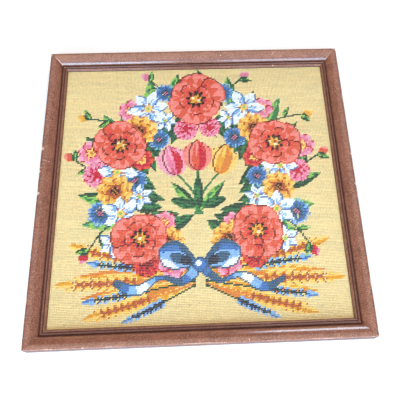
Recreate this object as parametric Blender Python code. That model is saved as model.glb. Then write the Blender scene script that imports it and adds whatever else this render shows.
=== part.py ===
"""A stitched needlepoint canvas in a mitred wooden frame, lying on its back.

Metres. +Z is up out of the stitched face, +Y points to the picture's top, and the origin is
under the middle of the frame, at the height of its back.
"""

import math

import bmesh
import bpy

MM = 0.001
GAP = 0.3 * MM

# The canvas is counted in stitches, 12 to the inch.
STITCHES_PER_INCH = 12
PITCH = 25.4 * MM / STITCHES_PER_INCH
SIGHT_STITCHES_ACROSS = 184
SIGHT_STITCHES_DOWN = 180
MARGIN_STITCHES = 3
CANVAS_THICKNESS = 2.0 * MM
CANVAS_CELLS = 32

# The stretched canvas hangs a little slack in its middle, with soft pulls along its edges.
SAG = 0.9 * MM
PULL = 0.22 * MM
PULLS_PER_SIDE = 5

# The moulding, across from its sight edge and up from its back.
MOULDING_WIDTH = 25.2 * MM
MOULDING_HEIGHT = 21.5 * MM
STITCHED_FACE = 7.2 * MM
BACK_EASE = 0.5 * MM
ARRIS_RADIUS = 0.9 * MM
ARRIS_HEIGHT = 21.1 * MM
CORNER_RADIUS = 0.8 * MM

# The wide band swells to a crest near its outer edge and falls to a groove on its inner side.
BAND_CREST = 22.4 * MM
BAND_INNER = 8.3 * MM
BAND_FOOT = 10.8 * MM
BAND_POWER = 1.25

# Two thin beads stand between the groove and the sight edge.
GROOVE_OUTER = 8.0 * MM
GROOVE_FLOOR = 10.2 * MM
OUTER_BEAD_CENTRE = 5.6 * MM
OUTER_BEAD_FOOT = 11.4 * MM
OUTER_BEAD_RADIUS = 1.5 * MM
SLOT_FLOOR = 10.9 * MM
INNER_BEAD_CENTRE = 2.4 * MM
INNER_BEAD_FOOT = 11.05 * MM
INNER_BEAD_RADIUS = 0.85 * MM
SIGHT_EDGE_HEIGHT = 9.3 * MM

SIGHT_WIDTH = SIGHT_STITCHES_ACROSS * PITCH
SIGHT_HEIGHT = SIGHT_STITCHES_DOWN * PITCH
REBATE_WIDTH = MARGIN_STITCHES * PITCH + GAP
REBATE_CEILING = STITCHED_FACE + GAP


def arc(centre, radius, start, end, steps):
    """Points on a circle's arc, from one angle to another in degrees."""
    points = []
    for step in range(steps + 1):
        angle = math.radians(start + (end - start) * step / steps)
        points.append((centre[0] + radius * math.cos(angle), centre[1] + radius * math.sin(angle)))
    return points


def band(steps):
    """The band's curve from its crest down to its inner foot."""
    points = []
    for step in range(steps + 1):
        angle = math.pi / 2 * step / steps
        inward = math.sin(angle) ** BAND_POWER
        upward = max(math.cos(angle), 0) ** BAND_POWER
        out = BAND_CREST - (BAND_CREST - BAND_INNER) * inward
        points.append((out, BAND_FOOT + (MOULDING_HEIGHT - BAND_FOOT) * upward))
    return points


def moulding_profile():
    """The moulding's section as (distance out from the sight edge, height), turning one way round."""
    arris_centre = (MOULDING_WIDTH - ARRIS_RADIUS, ARRIS_HEIGHT - ARRIS_RADIUS)
    profile = [(REBATE_WIDTH, 0), (MOULDING_WIDTH - BACK_EASE, 0), (MOULDING_WIDTH, BACK_EASE)]
    profile += arc(arris_centre, ARRIS_RADIUS, 0, 90, 4)
    profile += band(16)
    profile += [(GROOVE_OUTER, GROOVE_FLOOR), (OUTER_BEAD_CENTRE + OUTER_BEAD_RADIUS, GROOVE_FLOOR)]
    profile += arc((OUTER_BEAD_CENTRE, OUTER_BEAD_FOOT), OUTER_BEAD_RADIUS, 0, 180, 8)
    profile.append((OUTER_BEAD_CENTRE - OUTER_BEAD_RADIUS, SLOT_FLOOR))
    profile.append((INNER_BEAD_CENTRE + INNER_BEAD_RADIUS, SLOT_FLOOR))
    profile += arc((INNER_BEAD_CENTRE, INNER_BEAD_FOOT), INNER_BEAD_RADIUS, 0, 180, 6)
    profile += [(0, SIGHT_EDGE_HEIGHT), (0, REBATE_CEILING), (REBATE_WIDTH, REBATE_CEILING)]
    return profile


def corner_sections():
    """How far a rail's section is held back at each step into its rounded mitred corner.

    Each step is (the furthest that a point may lie out from the sight edge, the distance that
    the section stands back from the mitre).
    """
    sections = []
    for degrees in (0, 15, 30, 45):
        angle = math.radians(degrees)
        furthest = MOULDING_WIDTH - CORNER_RADIUS * (1 - math.cos(angle))
        back = CORNER_RADIUS * (math.sin(math.radians(45)) - math.sin(angle))
        sections.append((furthest, back))
    return sections


def rail_mesh(name, sight_length, sight_distance):
    """One mitred length of moulding along X, with its sight edge at y = -sight_distance."""
    profile = moulding_profile()
    sections = corner_sections()
    mitre_furthest = sections[-1][0]
    mitre_gap = GAP / 2 * math.sqrt(2)
    mesh = bmesh.new()
    rings = []
    for side in (-1, 1):
        ends = []
        for furthest, back in sections:
            ring = []
            for out, height in profile:
                along = sight_length / 2 + min(out, mitre_furthest) - mitre_gap - back
                ring.append(mesh.verts.new((side * along, -sight_distance - min(out, furthest), height)))
            ends.append(ring)
        rings += ends if side > 0 else ends[::-1]
    for ring, after in zip(rings, rings[1:]):
        for point in range(len(profile)):
            beyond = (point + 1) % len(profile)
            mesh.faces.new((ring[point], ring[beyond], after[beyond], after[point]))
    mesh.faces.new(rings[0])
    mesh.faces.new(rings[-1])
    bmesh.ops.recalc_face_normals(mesh, faces=mesh.faces)
    data = bpy.data.meshes.new(name)
    mesh.to_mesh(data)
    mesh.free()
    data.shade_smooth()
    data.set_sharp_from_angle(angle=math.radians(35))
    return data


def add_rail(name, sight_length, sight_distance, quarter_turns, material, parent):
    """A rail, turned by quarter turns from the picture's lower edge to its own edge."""
    rail = bpy.data.objects.new(name, rail_mesh(name, sight_length, sight_distance))
    rail.rotation_euler = (0, 0, quarter_turns * math.pi / 2)
    rail.parent = parent
    rail.data.materials.append(material)
    bpy.context.collection.objects.link(rail)


def canvas_height(across, down):
    """How far the canvas lies under its flat plane, where across and down run from -1 to 1."""
    held = (1 - across**2) * (1 - down**2)
    edge_pulls = math.cos(PULLS_PER_SIDE * math.pi * across) + math.cos(PULLS_PER_SIDE * math.pi * down)
    return -SAG * held - PULL * held * (1 - held) * (2 - edge_pulls)


def add_canvas(name, material, parent):
    """The stitched canvas, one closed sheet that fills the rebate."""
    half_width = SIGHT_WIDTH / 2 + MARGIN_STITCHES * PITCH
    half_height = SIGHT_HEIGHT / 2 + MARGIN_STITCHES * PITCH
    mesh = bmesh.new()
    layers = []
    for level in (STITCHED_FACE, STITCHED_FACE - CANVAS_THICKNESS):
        layer = []
        for row in range(CANVAS_CELLS + 1):
            down = 2 * row / CANVAS_CELLS - 1
            line = []
            for column in range(CANVAS_CELLS + 1):
                across = 2 * column / CANVAS_CELLS - 1
                height = level + canvas_height(across, down)
                line.append(mesh.verts.new((across * half_width, down * half_height, height)))
            layer.append(line)
        layers.append(layer)
    for layer in layers:
        for low, high in zip(layer, layer[1:]):
            for column in range(CANVAS_CELLS):
                mesh.faces.new((low[column], low[column + 1], high[column + 1], high[column]))
    top, bottom = (canvas_rim(layer) for layer in layers)
    for point in range(len(top)):
        before = point - 1
        mesh.faces.new((top[before], top[point], bottom[point], bottom[before]))
    bmesh.ops.recalc_face_normals(mesh, faces=mesh.faces)
    data = bpy.data.meshes.new(name)
    mesh.to_mesh(data)
    mesh.free()
    data.shade_smooth()
    data.set_sharp_from_angle(angle=math.radians(35))
    data.materials.append(material)
    canvas = bpy.data.objects.new(name, data)
    canvas.parent = parent
    bpy.context.collection.objects.link(canvas)


def canvas_rim(layer):
    """A layer's outer points, once round."""
    left = [line[0] for line in layer[::-1]]
    right = [line[-1] for line in layer]
    return layer[0] + right[1:] + layer[-1][-2::-1] + left[1:-1]


def make_material(name, colour, roughness):
    material = bpy.data.materials.new(name)
    material.use_nodes = True
    shader = material.node_tree.nodes["Principled BSDF"]
    shader.inputs["Base Color"].default_value = (*colour, 1)
    shader.inputs["Roughness"].default_value = roughness
    shader.inputs["Metallic"].default_value = 0
    return material


def main():
    for item in list(bpy.data.objects):
        bpy.data.objects.remove(item, do_unlink=True)
    frame = bpy.data.objects.new("frame", None)
    bpy.context.collection.objects.link(frame)
    wood = make_material("brown_lacquered_wood", (0.30, 0.13, 0.085), 0.38)
    wool = make_material("yellow_wool_on_canvas", (0.79, 0.62, 0.34), 0.95)
    add_rail("rail_bottom", SIGHT_WIDTH, SIGHT_HEIGHT / 2, 0, wood, frame)
    add_rail("rail_right", SIGHT_HEIGHT, SIGHT_WIDTH / 2, 1, wood, frame)
    add_rail("rail_top", SIGHT_WIDTH, SIGHT_HEIGHT / 2, 2, wood, frame)
    add_rail("rail_left", SIGHT_HEIGHT, SIGHT_WIDTH / 2, 3, wood, frame)
    add_canvas("needlepoint_canvas", wool, frame)


main()
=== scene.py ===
"""A framed needlepoint: a lacquered moulding round a canvas that is worked in wool, stitch by stitch."""
import math

import bpy
import numpy as np
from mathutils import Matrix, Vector
from mathutils.bvhtree import BVHTree


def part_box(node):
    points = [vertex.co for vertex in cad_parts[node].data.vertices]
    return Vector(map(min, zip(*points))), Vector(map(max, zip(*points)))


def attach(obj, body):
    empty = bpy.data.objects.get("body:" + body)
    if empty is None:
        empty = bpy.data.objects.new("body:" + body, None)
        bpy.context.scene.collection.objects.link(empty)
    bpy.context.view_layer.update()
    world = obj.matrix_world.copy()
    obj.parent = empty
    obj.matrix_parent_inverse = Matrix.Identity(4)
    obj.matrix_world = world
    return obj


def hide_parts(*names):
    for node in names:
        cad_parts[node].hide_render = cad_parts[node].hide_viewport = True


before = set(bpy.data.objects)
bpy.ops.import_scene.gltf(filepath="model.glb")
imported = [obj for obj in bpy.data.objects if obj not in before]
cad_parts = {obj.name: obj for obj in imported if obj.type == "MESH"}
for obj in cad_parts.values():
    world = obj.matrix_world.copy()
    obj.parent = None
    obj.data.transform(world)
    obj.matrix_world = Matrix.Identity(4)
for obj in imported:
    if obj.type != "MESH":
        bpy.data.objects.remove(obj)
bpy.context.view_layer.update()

MM = 0.001
SEED = 7

# The picture is counted in stitches, 12 to the inch.
PITCH = 25.4 * MM / 12
SIGHT_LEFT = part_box("rail_left")[1].x
SIGHT_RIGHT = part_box("rail_right")[0].x
SIGHT_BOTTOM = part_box("rail_bottom")[1].y
SIGHT_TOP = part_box("rail_top")[0].y
CANVAS_LOW, CANVAS_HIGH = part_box("needlepoint_canvas")
CELLS_ACROSS = round((CANVAS_HIGH.x - CANVAS_LOW.x) / PITCH)
CELLS_DOWN = round((CANVAS_HIGH.y - CANVAS_LOW.y) / PITCH)
BARE_CELLS = 2
STITCHES_ACROSS = CELLS_ACROSS - 2 * BARE_CELLS
STITCHES_DOWN = CELLS_DOWN - 2 * BARE_CELLS

# One tent stitch crosses one thread of the canvas on the slant.
STITCH_LENGTH = 1.50 * PITCH
STITCH_WIDTH = 0.66 * PITCH
STITCH_HEIGHT = 0.95 * MM
STITCH_SLANT = math.radians(33)
STITCH_BANDS = 5

# No two stitches lie quite alike: the spread of their slant in radians and of their thickness.
SLANT_SPREAD = 0.05
PLUMPNESS_SPREAD = 0.035

# Nor is the wool dyed quite evenly: by the needleful, by the stitch and in soft patches.
NEEDLEFUL_STITCHES = (6, 34)
NEEDLEFUL_BEFORE_ROW = 30
NEEDLEFUL_SPREAD = 0.030
STITCH_SPREAD = 0.04
PATCH_SPREAD = 0.018
TINT_SPREAD = 0.016

# The canvas under the stitches, down from their tops. Its hidden face has a cell every few threads.
CANVAS_FACE = 0.80 * MM
CANVAS_BACK = 1.75 * MM
FACE_STEP_ACROSS = 10
FACE_STEP_DOWN = 6
EDGE_CLEARANCE = 0.05 * MM
SEATING_GAP = 0.3 * MM

# The moulding's section, out from its sight edge and up from its back.
RAIL_LOW, RAIL_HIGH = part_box("rail_bottom")
MOULDING_WIDTH = RAIL_HIGH.y - RAIL_LOW.y
MOULDING_HEIGHT = RAIL_HIGH.z - RAIL_LOW.z
REBATE_CEILING = CANVAS_HIGH.z + SEATING_GAP
REBATE_WIDTH = CANVAS_HIGH.x - SIGHT_RIGHT + SEATING_GAP
BACK_EASE = 0.5 * MM
ARRIS_RADIUS = 0.9 * MM
ARRIS_HEIGHT = 21.1 * MM
CORNER_RADIUS = 0.8 * MM
MITRE_GAP = 0.2 * MM
BAND_CREST = 22.4 * MM
BAND_INNER = 8.3 * MM
BAND_FOOT = 10.8 * MM
BAND_POWER = 1.25
GROOVE_OUTER = 8.0 * MM
GROOVE_FLOOR = 10.2 * MM
OUTER_BEAD_CENTRE = 5.6 * MM
OUTER_BEAD_FOOT = 11.4 * MM
OUTER_BEAD_RADIUS = 1.5 * MM
SLOT_FLOOR = 10.9 * MM
INNER_BEAD_CENTRE = 2.4 * MM
INNER_BEAD_FOOT = 11.05 * MM
INNER_BEAD_RADIUS = 0.85 * MM
SIGHT_EDGE_HEIGHT = 9.3 * MM
RAIL_STEPS = 110
CORNER_STEPS = (0, 15, 30, 45)

# Each rail's painted light and lacquer: its top's level of painted shade, below 0 darker on the side rails
# and most on the left, and its mattness, as moulding_profile gives them, and from 0 to 1 the wear at its
# mitres, the wear along its outer edge, which on the bottom rail is a steady painted highlight, and how
# far that comes and goes.
RAIL_PAINTED_LIGHT_AND_FINISH = {
    "rail_top": (0, 0, 0.68, 0, 0.9),
    "rail_right": (-0.17, 0.35, 0.48, 0, 0.9),
    "rail_bottom": (0, 0, 0.48, 0.48, 0.2),
    "rail_left": (-0.27, 0.45, 0.48, 0, 0.9),
}
SCRATCH_WEAR = 0.55
# Where on the section the outer edge is worn, with the bottom rail's painted highlight, and how wide.
RUB_AND_HIGHLIGHT_OUT = MOULDING_WIDTH - 0.6 * MM
RUB_AND_HIGHLIGHT_WIDTH = 1.0 * MM

# Where the frame is knocked, in mm: rail, distance along it from its middle, out, radius, depth.
KNOCKS = (
    ("rail_left", -212.0, 23.6, 2.0, 0.20),
    ("rail_left", -54.7, 24.3, 3.8, 0.15),
    ("rail_left", -20.0, 25.2, 2.8, 0.15),
    ("rail_left", 12.6, 24.8, 4.2, 0.20),
    ("rail_left", 101.0, 25.7, 1.6, 0.15),
    ("rail_right", 213.0, 24.4, 2.4, 0.15),
    ("rail_right", 34.1, 25.2, 2.8, 0.12),
    ("rail_right", 11.0, 25.8, 2.0, 0.15),
    ("rail_right", -11.6, 25.3, 3.4, 0.15),
    ("rail_right", 62.0, 25.6, 1.4, 0.15),
    ("rail_top", -217.0, 24.2, 2.2, 0.25),
    ("rail_top", -121.0, 2.6, 1.8, 0.15),
    ("rail_top", -39.6, 17.0, 1.4, 0.25),
    ("rail_top", 83.0, 25.5, 1.6, 0.15),
    ("rail_bottom", -146.0, 25.0, 1.5, 0.15),
    ("rail_bottom", 58.0, 22.0, 1.1, 0.20),
    ("rail_bottom", 171.0, 13.0, 1.2, 0.25),
)

# Scratches across a rail, in mm: rail, distance along it, out from, out to, half their width.
SCRATCHES = (
    ("rail_left", -37.4, 12.0, 21.5, 0.8),
    ("rail_left", -25.5, 20.5, 25.0, 0.9),
    ("rail_top", -123.2, 15.0, 22.5, 0.9),
)

# The lights: name, place, what it faces, width and height, watts, colour.
LIGHTS = (
    ("ceiling", (-0.05, 0.1, 2.0), (-0.05, 0, 0), (2.2, 3.2), 42, (1.0, 0.95, 0.87)),
    ("left_window", (-0.48, -1.3, 0.47), (-0.1, 0.2, 0.02), (0.74, 0.66), 27, (0.475, 0.735, 1.0)),
    ("right_window", (0.47, -1.3, 0.47), (0.1, 0.2, 0.02), (0.72, 0.66), 20, (0.475, 0.735, 1.0)),
    ("near_wall", (0, -1.5, 1.4), (0, 0.2, 0.02), (2.6, 1.2), 13, (0.40, 0.62, 1.0)),
    ("far_window", (0.66, 1.8, 0.38), (0.15, -0.2, 0.02), (0.80, 0.52), 20, (0.72, 0.84, 1.0)),
)
ROOM_COLOUR = (0.94, 0.97, 1.0, 1)
ROOM_LIGHT = 0.26
FLOOR_REACH = 10.0

# The camera stands over the lower edge and looks down. Its turns are in degrees.
CAMERA_PLACE = (-0.0005, -0.3001, 0.7662)
CAMERA_TURNS = (25.81, -1.43, -2.36)
CAMERA_SHIFT = (-0.0501, -0.1473)
FOCAL_LENGTH_PIXELS = 577
PICTURE_PIXELS = 400

# Yarn colours as the eye reads them, in 0 to 255.
YARNS = {
    "ground": (237, 208, 150),
    "white": (240, 238, 233),
    "cream": (247, 228, 188),
    "pale_blue": (140, 182, 226),
    "mid_blue": (66, 118, 180),
    "slate": (52, 92, 122),
    "navy": (34, 48, 68),
    "light_coral": (243, 138, 126),
    "coral": (228, 88, 64),
    "crimson": (206, 26, 58),
    "maroon": (128, 22, 28),
    "light_pink": (243, 168, 186),
    "pink": (234, 126, 156),
    "light_gold": (251, 205, 110),
    "gold": (238, 168, 58),
    "deep_gold": (234, 158, 28),
    "orange": (226, 130, 52),
    "rust": (184, 84, 48),
    "black": (30, 26, 28),
    "dark_green": (26, 74, 54),
    "green": (50, 128, 74),
    "sage": (92, 146, 112),
    "lime": (150, 198, 92),
}
YARN_NUMBER = {name: number for number, name in enumerate(YARNS)}
CORAL = ("crimson", "coral", "light_coral")
ROSE = ("crimson", "pink", "light_pink")
RED = ("maroon", "crimson", "coral")
HONEY = ("orange", "gold", "light_gold")
DEEP_LEAF = ("dark_green", "dark_green", "green")
FRESH_LEAF = ("dark_green", "green", "lime")
SOFT_LEAF = ("green", "sage", "lime")
STRAW = ("orange", "deep_gold", "light_gold")
WHEAT = ("orange", "rust", "deep_gold", "light_gold")
LAVENDER = ("dark_green", "navy", "mid_blue", "pale_blue")

# Places on the picture, in stitches from the canvas's middle, x to the right and y up.
WREATH_MIDDLE = (0, 7)
WREATH_RADIUS = 56
LEAVES_INNER_RADIUS = 48
SHEAF_FOOT = (4, -58)
KNOT = (0, -54)


def linear(colour):
    """A colour from 0 to 255 as light, for a shader."""
    share = np.asarray(colour, float) / 255
    return np.where(share <= 0.04045, share / 12.92, ((share + 0.055) / 1.055) ** 2.4)


# The chart

class Chart:
    """The picture, one yarn to a stitch, with 0, 0 in the middle of the canvas."""

    def __init__(self, across, down):
        columns = np.arange(across) - (across - 1) / 2
        rows = np.arange(down) - (down - 1) / 2
        self.x, self.y = np.meshgrid(columns, rows)
        self.yarn = np.full(self.x.shape, YARN_NUMBER["ground"])

    def paint(self, where, yarn):
        self.yarn[where] = YARN_NUMBER[yarn]

    def turned(self, place, degrees):
        """Each stitch's distance from a place, along a direction and to the left of it."""
        angle = math.radians(degrees)
        dx, dy = self.x - place[0], self.y - place[1]
        along = dx * math.cos(angle) + dy * math.sin(angle)
        left = dy * math.cos(angle) - dx * math.sin(angle)
        return along, left

    def round(self, place):
        """Each stitch's distance from a place and its angle there, in radians."""
        dx, dy = self.x - place[0], self.y - place[1]
        return np.hypot(dx, dy), np.arctan2(dy, dx)

    def disc(self, place, radius, yarn, part=True):
        """Paints a round patch, or part of it."""
        self.paint((self.round(place)[0] < radius) & part, yarn)

    def line(self, points, width, yarn):
        """A curve through a few points, as a run of stitches."""
        for x, y in smooth_curve(points):
            self.paint((abs(self.x - x) <= width / 2) & (abs(self.y - y) <= width / 2), yarn)


def smooth_curve(points, steps=40):
    """Points along a smooth curve that passes through all the points given."""
    route = []
    ends = [points[0], *points, points[-1]]
    for a, b, c, d in zip(ends, ends[1:], ends[2:], ends[3:]):
        for t in np.linspace(0, 1, steps + 1):
            place = []
            for p, q, r, s in zip(a, b, c, d):
                bend = 2 * p - 5 * q + 4 * r - s
                twist = 3 * q - p - 3 * r + s
                place.append(0.5 * (2 * q + (r - p) * t + bend * t**2 + twist * t**3))
            route.append(tuple(place))
    return route


def heading(start, end):
    """The direction from one place to another, in degrees."""
    return math.degrees(math.atan2(end[1] - start[1], end[0] - start[0]))


def rim(where):
    """The outermost stitches of a shape."""
    inner = where.copy()
    inner[1:] &= where[:-1]
    inner[:-1] &= where[1:]
    inner[:, 1:] &= where[:, :-1]
    inner[:, :-1] &= where[:, 1:]
    return where & ~inner


def petal(chart, heart, turn, length, width, widest=0.6, blunt=0.7):
    """A petal's stitches, with each one's share along the petal and its share across it."""
    along, left = chart.turned(heart, turn)
    share = along / length
    power = math.log(0.5) / math.log(widest)
    swell = np.sin(np.pi * np.clip(share, 0, 1) ** power) ** blunt
    across = left / np.maximum(width / 2 * swell, 0.4)
    return (share > 0) & (share < 1) & (abs(across) < 1), share, across


def shade(chart, where, tone, steps):
    """Paints a shape in steps, each a tone that it reaches up to and its yarn."""
    low = -np.inf
    for high, yarn in steps:
        chart.paint(where & (tone >= low) & (tone < high), yarn)
        low = high


def leaf(chart, stalk, turn, length, width, yarns):
    """A leaf with one side in the light, a vein down its middle and a dark rim below."""
    dark, middle, light = yarns
    where, share, across = petal(chart, stalk, turn, length, width, 0.45, 0.9)
    tone = across + 0.35 * np.sin(share * length * 0.9)
    shade(chart, where, tone, [(-0.1, dark), (0.55, middle), (9, light)])
    chart.paint(rim(where) & (across < 0), dark)
    chart.paint(where & (abs(across) < 0.16) & (share < 0.85), light)


def sprig(chart, points, leaf_length, bud):
    """A thin stem with leaves turned out on both sides by turns, and a bud on its tip."""
    chart.line(points, 1, "dark_green")
    route = smooth_curve(points)
    count = max(3, len(route) // 22)
    for number in range(count):
        place = int((number + 0.8) / count * (len(route) - 4))
        side = 48 if number % 2 else -48
        turn = heading(route[place], route[place + 3]) + side
        leaf(chart, route[place], turn, leaf_length, leaf_length * 0.42, FRESH_LEAF)
    where, share, across = petal(chart, route[-5], heading(route[-5], route[-1]), 8, 6, 0.5, 0.8)
    shade(chart, where, share + 0.3 * across, [(0.3, "dark_green"), (0.75, bud[0]), (9, bud[1])])


def camellia(chart, heart, radius, turn):
    """A big open flower of broad coral petals in two rings, with a gold heart."""
    for size, count, shift, deep, bright in ((1.0, 6, 0, 0.36, 0.74), (0.64, 5, 24, 0.45, 0.84)):
        for number in range(count):
            angle = turn + shift + 360 / count * number
            length = radius * size * (1 + 0.1 * math.sin(2.7 * number + 1))
            where, share, across = petal(chart, heart, angle, length, length * 1.04, 0.7, 0.55)
            flames = 0.13 * np.cos(across * 10 + 2 * number)
            tone = share + flames - 0.2 * across
            shade(chart, where, tone, [(deep, "crimson"), (bright, "coral"), (9, "light_coral")])
            chart.paint(rim(where) & (across > 0.1), "maroon")
            chart.paint(rim(where) & (across < 0) & (share > 0.5), "coral")
    _, angle = chart.round(heart)
    seeds = (np.round(chart.x) + 2 * np.round(chart.y)) % 5
    chart.disc(heart, radius * (0.3 + 0.07 * np.sin(angle * 9)), "black")
    chart.disc(heart, radius * (0.19 + 0.05 * np.sin(angle * 7)), "gold")
    chart.disc(heart, radius * 0.17, "cream", seeds < 1)
    chart.disc(heart, radius * 0.24, "rust", seeds > 3)


def tulip(chart, base, turn, height, yarns):
    """A closed tulip seen from its side, on the tip of its stem."""
    for lean, wide in ((26, 0.46), (-26, 0.46), (12, 0.5), (-12, 0.5), (0, 0.56)):
        length = height * (1 - abs(lean) / 180)
        where, share, across = petal(chart, base, turn + lean, length, height * wide, 0.45, 0.6)
        lit = across if lean >= 0 else -across
        tone = 0.5 * lit + 0.5 * share + 0.2 * np.cos(across * 8)
        dark, middle, light = yarns
        shade(chart, where, tone, [(0.12, dark), (0.45, middle), (9, light)])
        hidden = across if lean <= 0 else -across
        chart.paint(rim(where) & (hidden > 0.3), "maroon")


def petals_round(chart, heart, turn, count, length, width, widest, blunt):
    """The petals of one ring, one after the other."""
    for number in range(count):
        yield petal(chart, heart, turn + 360 / count * number, length, width, widest, blunt)


def petal_ring(chart, heart, radius, turn, count, width, steps, edge):
    """One ring of narrow petals, each with an edge in the shade."""
    for where, share, across in petals_round(chart, heart, turn, count, radius, width, 0.62, 0.6):
        shade(chart, where, share - 0.2 * across, steps)
        chart.paint(rim(where) & (across > 0.25), edge)


def rudbeckia(chart, heart, radius, turn):
    """A gold flower of many petals round a dark rust cone."""
    outer = [(0.55, "orange"), (0.78, "gold"), (9, "light_gold")]
    inner = [(0.6, "rust"), (0.85, "gold"), (9, "light_gold")]
    petal_ring(chart, heart, radius, turn, 10, radius * 0.62, outer, "orange")
    petal_ring(chart, heart, radius * 0.72, turn + 18, 8, radius * 0.5, inner, "rust")
    seeds = (chart.x - heart[0] + chart.y - heart[1]) % 3
    chart.disc(heart, radius * 0.33, "rust")
    chart.disc(heart, radius * 0.24, "black")
    chart.disc(heart, radius * 0.2, "orange", seeds < 1)


def lily(chart, heart, radius, turn):
    """A white lily of six pointed petals, shaded in blues."""
    for number in (0, 2, 4, 1, 3, 5):
        length = radius * (1 if number % 2 else 0.92)
        where, share, across = petal(chart, heart, turn + 60 * number, length, radius * 0.56, 0.5, 0.85)
        tone = across + 0.25 * np.cos(share * 9)
        shade(chart, where, tone, [(-0.5, "pale_blue"), (9, "white")])
        chart.paint(rim(where) & (across < -0.45), "mid_blue")
        chart.paint(where & (abs(across) < 0.13) & (share < 0.55), "pale_blue")
    distance, angle = chart.round(heart)
    stamens = (distance > radius * 0.15) & (np.cos(angle * 6 + turn) > 0.86)
    chart.disc(heart, radius * 0.19, "light_gold")
    chart.disc(heart, radius * 0.36, "rust", stamens)
    chart.disc(heart, 1.1, "lime")


def carnation(chart, heart, radius, turn, yarns):
    """A ruffled flower, its frills in rings round each other."""
    dark, middle, light = yarns
    for size, count in ((1.0, 9), (0.74, 7), (0.46, 5)):
        length = radius * size
        ring = petals_round(chart, heart, turn + size * 40, count, length, length * 0.8, 0.8, 0.45)
        for where, share, across in ring:
            tone = share + 0.12 * np.cos(across * 7)
            shade(chart, where, tone, [(0.62, dark), (0.86, middle), (9, light)])
            chart.paint(rim(where) & (across > 0.4), dark)


def aster(chart, heart, radius, turn, yarns):
    """A round flower of short petals with a gold eye."""
    dark, middle, light = yarns
    steps = [(0.4, dark), (0.72, middle), (9, light)]
    petal_ring(chart, heart, radius, turn, 7, radius * 0.8, steps, dark)
    distance, angle = chart.round(heart)
    rays = (distance > radius * 0.28) & (np.cos(angle * 7 + turn) > 0.8)
    chart.disc(heart, radius * 0.3, "light_gold")
    chart.disc(heart, radius * 0.14, "orange")
    chart.disc(heart, radius * 0.5, "light_gold", rays)


def cornflower(chart, heart, radius, turn):
    """A blue flower with fringed petals and a dark heart."""
    steps = [(0.5, "slate"), (0.8, "mid_blue"), (9, "pale_blue")]
    for where, share, across in petals_round(chart, heart, turn, 8, radius, radius * 0.62, 0.78, 0.5):
        notches = (share > 0.78) & (np.cos(across * 9) < -0.3)
        shade(chart, where & ~notches, share + 0.15 * np.cos(across * 6), steps)
    chart.disc(heart, radius * 0.26, "navy")
    chart.disc(heart, radius * 0.22, "pink", (chart.x + chart.y) % 2 < 1)


def ear(chart, foot, turn, length, bend, grain, yarns):
    """A ripe ear on a thin stalk, its grains in two rows."""
    stalk, edge, middle, light = yarns
    angle = math.radians(turn)
    points = []
    for share in (0, 0.35, 0.7, 1):
        reach, lift = length * share, bend * share**2
        x = foot[0] + reach * math.cos(angle) - lift * math.sin(angle)
        points.append((x, foot[1] + reach * math.sin(angle) + lift * math.cos(angle)))
    chart.line(points, 1, stalk)
    route = smooth_curve(points)
    grains = 8
    for number in range(grains):
        place = int(len(route) * (0.42 + 0.5 * number / grains))
        course = heading(route[place], route[min(place + 4, len(route) - 1)])
        size = grain * (1 - 0.04 * number)
        for side in (-1, 1):
            turned = course + side * 34
            where, share, across = petal(chart, route[place], turned, size, size * 0.56, 0.5, 0.8)
            shade(chart, where, across * side + 0.6 * share, [(0.25, middle), (9, light)])
            chart.paint(where & (share < 0.3), edge)
            chart.paint(rim(where) & (across * side < -0.3), edge)
    where, share, across = petal(chart, route[place], course, grain * 1.5, grain * 0.5, 0.5, 0.8)
    shade(chart, where, across + 0.3 * share, [(0.1, middle), (9, light)])


def ribbon(chart, points, width, phase):
    """A ribbon's tail along a curve, folded light and dark as it turns."""
    route = np.array(smooth_curve(points))
    steps = np.diff(route, axis=0)
    run = np.concatenate([[0], np.cumsum(np.hypot(*steps.T))])
    squared = (chart.x[..., None] - route[:, 0]) ** 2 + (chart.y[..., None] - route[:, 1]) ** 2
    place = run[squared.argmin(-1)]
    swell = 0.72 + 0.28 * np.cos(place / 6.5 + phase)
    where = np.sqrt(squared.min(-1)) < width / 2 * swell
    tone = np.cos(place / 6.5 + phase + 0.9)
    shade(chart, where, tone, [(-0.55, "slate"), (0.15, "mid_blue"), (0.82, "pale_blue"), (9, "white")])
    chart.paint(rim(where), "slate")


def bow(chart, knot, size):
    """A ribbon bow: two tails, two loops and a knot."""
    x, y = knot
    for side in (-1, 1):
        tail = [(x + side * 2, y - 2), (x + side * size * 0.5, y - size * 0.42)]
        tail += [(x + side * size * 1.05, y - size * 0.3), (x + side * size * 1.65, y - size * 0.62)]
        tail += [(x + side * size * 2.15, y - size * 0.42)]
        ribbon(chart, tail, size * 0.3, 0.6 * side)
    for side in (-1, 1):
        turn = 90 - side * 68
        where, share, across = petal(chart, knot, turn, size * 1.15, size * 0.78, 0.66, 0.6)
        tone = across * -side + 0.25 * np.cos(share * 9)
        shade(chart, where, tone, [(-0.45, "slate"), (0.1, "mid_blue"), (0.7, "pale_blue"), (9, "white")])
        chart.paint(rim(where), "slate")
        hollow, share, across = petal(chart, knot, turn - side * 3, size * 0.86, size * 0.36, 0.7, 0.6)
        hollow &= share > 0.25
        shade(chart, hollow, share, [(0.6, "navy"), (9, "slate")])
        chart.paint(rim(hollow) & (share > 0.5), "pale_blue")
    chart.disc(knot, size * 0.2, "slate")
    chart.disc(knot, size * 0.15, "mid_blue")
    chart.disc((x - 1, y + 1), size * 0.08, "white")


def from_top(degrees, radius):
    """A place on the wreath, by its angle from the top, clockwise."""
    angle = math.radians(90 - degrees)
    x, y = WREATH_MIDDLE
    return x + radius * math.cos(angle), y + radius * math.sin(angle)


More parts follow.
